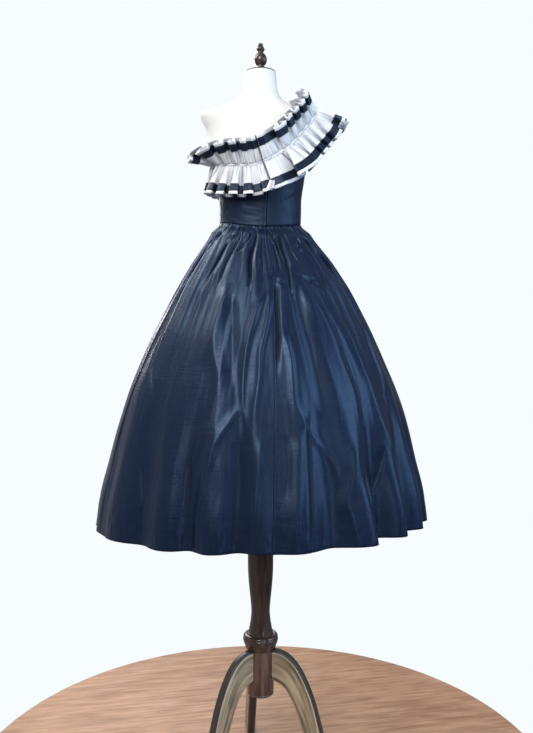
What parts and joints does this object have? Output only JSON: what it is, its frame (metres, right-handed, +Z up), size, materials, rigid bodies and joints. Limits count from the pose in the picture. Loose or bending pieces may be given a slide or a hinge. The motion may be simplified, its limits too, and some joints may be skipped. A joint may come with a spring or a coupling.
{
  "type": "evening dress on a dress form with a stand",
  "caption": "One-shoulder evening dress with a double-edged ruffle, back zip and full gathered skirt, on a limbless dress form and turned three-legged stand.",
  "frame": {"origin": "on the floor under the stand's pole", "axes": "+Z up, the dress faces -Y, the wearer's left is +X"},
  "size_m": [0.9057, 0.7059, 1.9844],
  "materials": {
    "taffeta_navy": "crisp dark navy taffeta with a soft sheen",
    "taffeta_white": "crisp white taffeta",
    "ribbon_navy": "navy ribbon, slightly glossy",
    "zip_metal": "plain bright metal",
    "form_cover": "off-white jersey over a padded form",
    "wood_dark": "dark stained, satin varnish",
    "wood_leg": "golden-brown with worn dark edges"
  },
  "bodies": {
    "dress_on_stand": {"bodice_back_left": "taffeta_navy", "bodice_back_right": "taffeta_navy", "bodice_front": "taffeta_navy", "dress_form": "form_cover", "finial": "wood_dark", "hub": "wood_dark", "leg_back_left": "wood_leg", "leg_back_right": "wood_leg", "leg_front": "wood_leg", "neck_cap": "wood_dark", "pole": "wood_dark", "ruffle": "taffeta_white", "ruffle_band_lower": "ribbon_navy", "ruffle_band_upper": "ribbon_navy", "skirt_back_left": "taffeta_navy", "skirt_back_right": "taffeta_navy", "skirt_front": "taffeta_navy", "zip_slider": "zip_metal", "zip_tape": "taffeta_navy"},
    "zip_pull": {"zip_pull": "zip_metal"}
  },
  "joints": [
    {"name": "zip_pull_hinge", "type": "hinge", "parent": "dress_on_stand", "child": "zip_pull", "pos_m": [0, 0.10296, 1.6225], "axis": [1, 0, 0], "range_deg": [-10, 25]}
  ]
}
